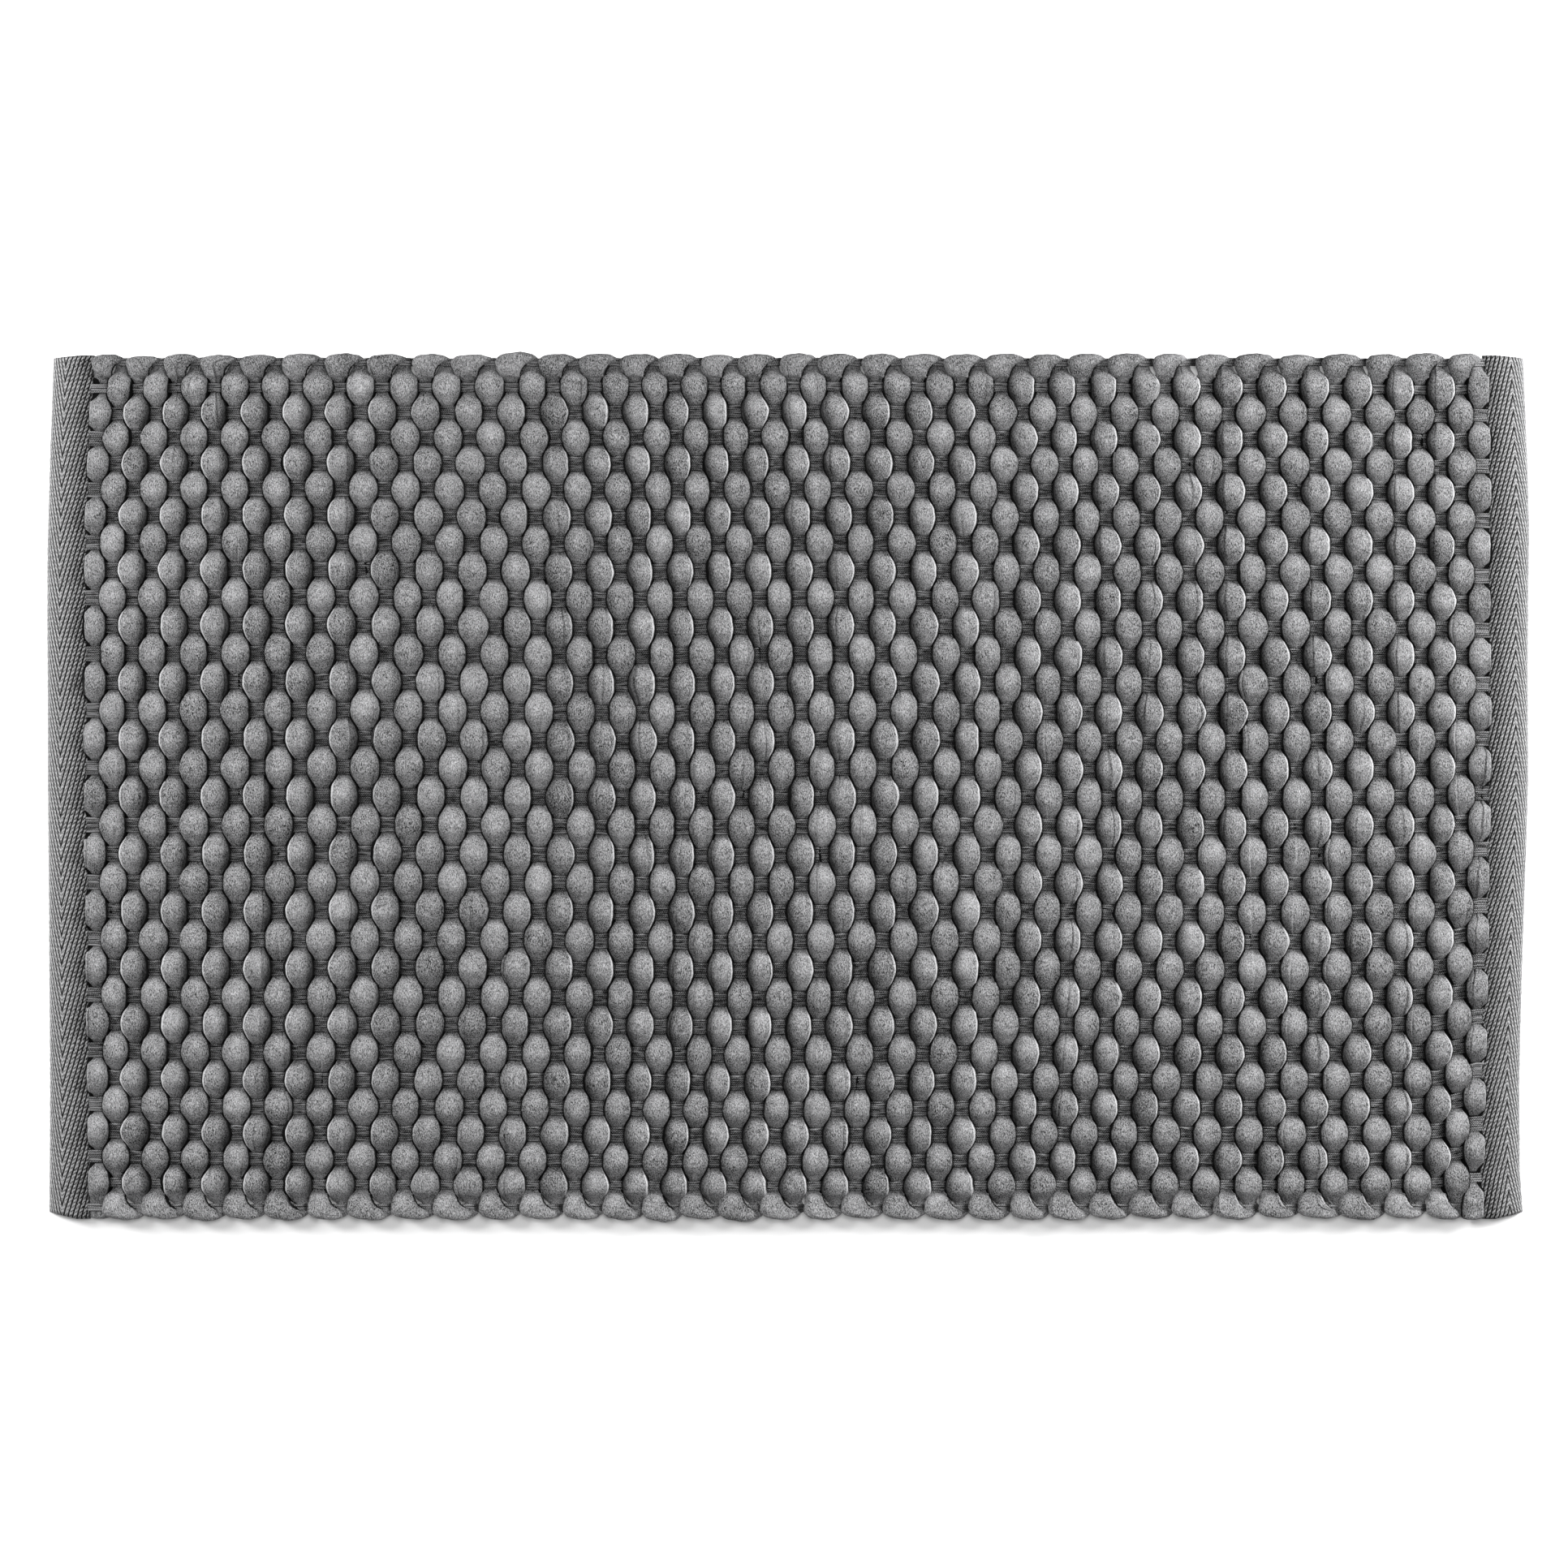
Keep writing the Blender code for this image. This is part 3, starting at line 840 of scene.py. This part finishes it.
class Nodes:
    """A short way to write a material's nodes."""

    def __init__(self, name, roughness, sheen, sheen_roughness, sheen_tint):
        self.material = bpy.data.materials.new(name)
        self.material.use_nodes = True
        self.tree = self.material.node_tree
        self.shader = self.tree.nodes["Principled BSDF"]
        self.shader.inputs["Roughness"].default_value = roughness
        self.shader.inputs["Metallic"].default_value = 0.0
        self.shader.inputs["Specular IOR Level"].default_value = 0.02
        self.shader.inputs["Sheen Weight"].default_value = sheen
        self.shader.inputs["Sheen Roughness"].default_value = sheen_roughness
        self.shader.inputs["Sheen Tint"].default_value = (*sheen_tint, 1.0)

    def add(self, kind):
        return self.tree.nodes.new(kind)

    def link(self, source, target):
        self.tree.links.new(source, target)

    def place(self, turn=(0, 0, 0), scale=(1, 1, 1)):
        spot = self.add("ShaderNodeTexCoord")
        mapping = self.add("ShaderNodeMapping")
        mapping.inputs["Rotation"].default_value = turn
        mapping.inputs["Scale"].default_value = scale
        self.link(spot.outputs["Object"], mapping.inputs["Vector"])
        return mapping.outputs["Vector"]

    def noise(self, where, scale, detail, roughness):
        node = self.add("ShaderNodeTexNoise")
        node.inputs["Scale"].default_value = scale
        node.inputs["Detail"].default_value = detail
        node.inputs["Roughness"].default_value = roughness
        self.link(where, node.inputs["Vector"])
        return node.outputs["Fac"]

    def bands(self, where, scale, distortion):
        node = self.add("ShaderNodeTexWave")
        node.inputs["Scale"].default_value = scale
        node.inputs["Distortion"].default_value = distortion
        node.inputs["Detail"].default_value = 2.0
        self.link(where, node.inputs["Vector"])
        return node.outputs["Fac"]

    def attribute(self, name):
        node = self.add("ShaderNodeAttribute")
        node.attribute_name = name
        return node.outputs["Fac"]

    def math(self, kind, *values):
        node = self.add("ShaderNodeMath")
        node.operation = kind
        for index, value in enumerate(values):
            if isinstance(value, (int, float)):
                node.inputs[index].default_value = value
            else:
                self.link(value, node.inputs[index])
        return node.outputs["Value"]

    def plus(self, a, b):
        return self.math("ADD", a, b)

    def times(self, a, b):
        return self.math("MULTIPLY", a, b)

    def wave(self, turns):
        return self.math("SINE", self.times(turns, 2 * math.pi))

    def spread(self, value, low, high, to_low, to_high):
        """The value with low..high carried over to to_low..to_high, and held at both ends."""
        node = self.add("ShaderNodeMapRange")
        sockets = ("From Min", "From Max", "To Min", "To Max")
        for key, number in zip(sockets, (low, high, to_low, to_high)):
            node.inputs[key].default_value = number
        self.link(value, node.inputs["Value"])
        return node.outputs["Result"]

    def smooth(self, value, low, high, to_low, to_high):
        result = self.spread(value, low, high, to_low, to_high)
        result.node.interpolation_type = "SMOOTHSTEP"
        return result

    def colour(self, dark, light, value):
        node = self.add("ShaderNodeMix")
        node.data_type = "RGBA"
        sockets = {s.identifier: s for s in node.inputs}
        sockets["A_Color"].default_value = (*dark, 1.0)
        sockets["B_Color"].default_value = (*light, 1.0)
        self.link(value, sockets["Factor_Float"])
        result = [s for s in node.outputs if s.identifier == "Result_Color"][0]
        self.link(result, self.shader.inputs["Base Color"])

    def bump(self, height, strength, distance):
        node = self.add("ShaderNodeBump")
        node.inputs["Strength"].default_value = strength
        node.inputs["Distance"].default_value = distance
        self.link(height, node.inputs["Height"])
        self.link(node.outputs["Normal"], self.shader.inputs["Normal"])


def velvet():
    n = Nodes("velvet_grey", 0.95, 0.01, 0.3, (0.6, 0.6, 0.6))
    plain = n.place()
    streaks = n.place(turn=(0, 0, math.radians(28)), scale=(1.0, 0.34, 0.7))
    grain = n.noise(plain, 1050, 3.0, 0.75)
    nap = n.noise(streaks, 1900, 2.0, 0.7)
    patch = n.noise(plain, 120, 2.0, 0.5)
    mottle = n.plus(n.times(grain, 0.35), n.times(nap, 0.65))
    tone = n.spread(mottle, 0.39, 0.63, 0.05, 1.34)
    tone = n.plus(tone, n.attribute("tone"))
    tone = n.plus(tone, n.spread(patch, 0.3, 0.7, -0.13, 0.13))
    tone = n.math("SUBTRACT", tone, n.times(n.attribute("sewn"), 0.30))
    # painted light and shade from the cord: the tone is scaled from 0.06 on the darkest flanks to 0.68
    # on the lightest
    painted_light = n.attribute("painted_light")
    lit = n.plus(n.spread(painted_light, -0.85, 0.0, 0.06, 0.48), n.spread(painted_light, 0.0, 1.0, 0.0, 0.20))
    tone = n.times(tone, lit)
    # a painted highlight: a light rim just inside the crease, on the flank painted lighter
    side = n.attribute("side")
    band = n.attribute("band")
    rim = n.times(n.smooth(side, 0.76, 0.86, 0.0, 1.0), n.smooth(side, 0.87, 0.93, 1.0, 0.0))
    tone = n.plus(tone, n.times(rim, n.spread(painted_light, 0.1, 0.8, 0.01, 0.65)))
    # painted shade: darker towards the crease between two cords, down the bubble's sides and towards
    # the bundle that binds the cord
    for value, low, high, to_low, to_high in (
        (side, 0.865, 0.96, 1.0, 0.01),
        (side, 0.15, 0.90, 1.05, 0.85),
        (band, -0.3, 0.8, 0.02, 1.0),
        (band, 0.0, 4.0, 0.60, 1.0),
    ):
        tone = n.times(tone, n.smooth(value, low, high, to_low, to_high))
    n.colour((0.004, 0.004, 0.004), (0.54, 0.54, 0.55), tone)
    n.bump(mottle, 0.7, 1.0 * MM)
    return n.material


def yarn():
    n = Nodes("dark_grey_yarn", 0.9, 0.01, 0.5, (0.5, 0.5, 0.5))
    lateral = n.attribute("lateral")
    fuzz = n.noise(n.place(), 1500, 3.0, 0.75)
    turns = n.plus(n.plus(n.attribute("along"), n.times(lateral, 0.45)), fuzz)
    height = n.plus(n.times(n.wave(turns), 0.36), fuzz)
    tone = n.plus(n.spread(height, 0.15, 0.95, 0.0, 1.10), n.attribute("tone"))
    # painted shade: darker down each yarn's flanks, and where the bundle dips between two columns
    tone = n.times(tone, n.smooth(n.math("ABSOLUTE", lateral), 0.45, 1.0, 1.0, 0.25))
    tone = n.times(tone, n.smooth(n.attribute("near"), 0.40, 0.92, 0.15, 1.0))
    n.colour((0.005, 0.005, 0.005), (0.30, 0.30, 0.305), tone)
    n.bump(height, 0.8, 0.5 * MM)
    return n.material


def tape_weave():
    n = Nodes("herringbone_tape", 0.9, 0.01, 0.5, (0.5, 0.5, 0.5))
    place = n.math("FRACT", n.attribute("rib"))
    off_middle = n.math("ABSOLUTE", n.math("SUBTRACT", n.times(place, 2.0), 1.0))
    fuzz = n.noise(n.place(scale=(1.0, 0.55, 1.0)), 1300, 3.0, 0.75)
    turns = n.plus(n.plus(n.attribute("along"), n.times(place, 0.9)), n.times(fuzz, 0.9))
    ply = n.wave(turns)
    height = n.plus(n.times(ply, 0.16), fuzz)
    # painted light: lighter at the tape's outer edge, darker towards its inner lip
    tone = n.plus(n.spread(height, 0.25, 0.75, 0.10, 1.15), n.attribute("painted_tape_light"))
    # a faint line splits each rib in two, and painted shade darkens the groove that parts it from the
    # next
    split = n.times(n.smooth(off_middle, 0.0, 0.28, 0.45, 0.0), n.smooth(ply, -0.6, 0.6, 0.2, 1.0))
    tone = n.times(tone, n.math("SUBTRACT", 1.0, split))
    groove = n.plus(off_middle, n.times(ply, 0.10))
    tone = n.times(tone, n.smooth(groove, 0.45, 0.86, 1.0, 0.01))
    n.colour((0.004, 0.004, 0.004), (0.42, 0.42, 0.425), tone)
    n.bump(height, 0.8, 0.5 * MM)
    return n.material


def thread():
    n = Nodes("grey_thread", 0.6, 0.1, 0.5, (0.9, 0.9, 0.9))
    ply = n.bands(n.place(turn=(0, 0, math.radians(60))), 420, 1.0)
    n.colour((0.10, 0.10, 0.105), (0.26, 0.26, 0.27), ply)
    n.bump(ply, 0.5, 0.2 * MM)
    return n.material


def pale_floor():
    n = Nodes("pale_floor", 0.75, 0.0, 0.5, (1, 1, 1))
    n.colour((0.93, 0.93, 0.93), (0.95, 0.95, 0.95), n.noise(n.place(), 30, 2.0, 0.5))
    return n.material


# ------------------------------------------------------------------ stage


def add_floor():
    mesh = bpy.data.meshes.new("floor")
    corners = [(x * FLOOR_REACH, y * FLOOR_REACH, 0) for x, y in ((-1, -1), (1, -1), (1, 1), (-1, 1))]
    mesh.from_pydata(corners, [], [(0, 1, 2, 3)])
    mesh.materials.append(pale_floor())
    floor = bpy.data.objects.new("floor", mesh)
    floor.location.z = -FLOOR_DROP
    bpy.context.scene.collection.objects.link(floor)


def add_light(name, size, power, place, target):
    lamp = bpy.data.lights.new(name, "AREA")
    lamp.shape = "RECTANGLE"
    lamp.size, lamp.size_y = size
    lamp.energy = power
    light = bpy.data.objects.new(name, lamp)
    light.location = place
    light.rotation_euler = (Vector(target) - Vector(place)).to_track_quat("-Z", "Y").to_euler()
    bpy.context.scene.collection.objects.link(light)


def add_camera():
    """Looks straight down, as the photograph does."""
    data = bpy.data.cameras.new("camera")
    data.lens = CAMERA_LENS
    data.sensor_width = CAMERA_SENSOR
    camera = bpy.data.objects.new("camera", data)
    camera.location = CAMERA_PLACE
    bpy.context.scene.collection.objects.link(camera)
    bpy.context.scene.camera = camera


def build_stage():
    add_floor()
    for softbox in SOFTBOXES:
        add_light(*softbox)
    world = bpy.data.worlds.new("studio")
    world.use_nodes = True
    background = world.node_tree.nodes["Background"]
    background.inputs["Color"].default_value = (1.0, 1.0, 1.0, 1.0)
    background.inputs["Strength"].default_value = ROOM_LIGHT
    bpy.context.scene.world = world
    bpy.context.scene.view_settings.view_transform = "Standard"
    add_camera()


def main():
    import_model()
    build_cord(velvet())
    bundles = build_bundles(yarn())
    webbing, sewing = tape_weave(), thread()
    for side, place in ((-1, "left"), (1, "right")):
        tape = build_tape(f"herringbone_tape_{place}", side, webbing)
        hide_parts(f"binding_tape_{place}")
        stitches = build_stitches(f"tape_stitches_{place}", side, sewing)
        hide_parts(f"binding_stitch_{place}")
    build_stage()


main()
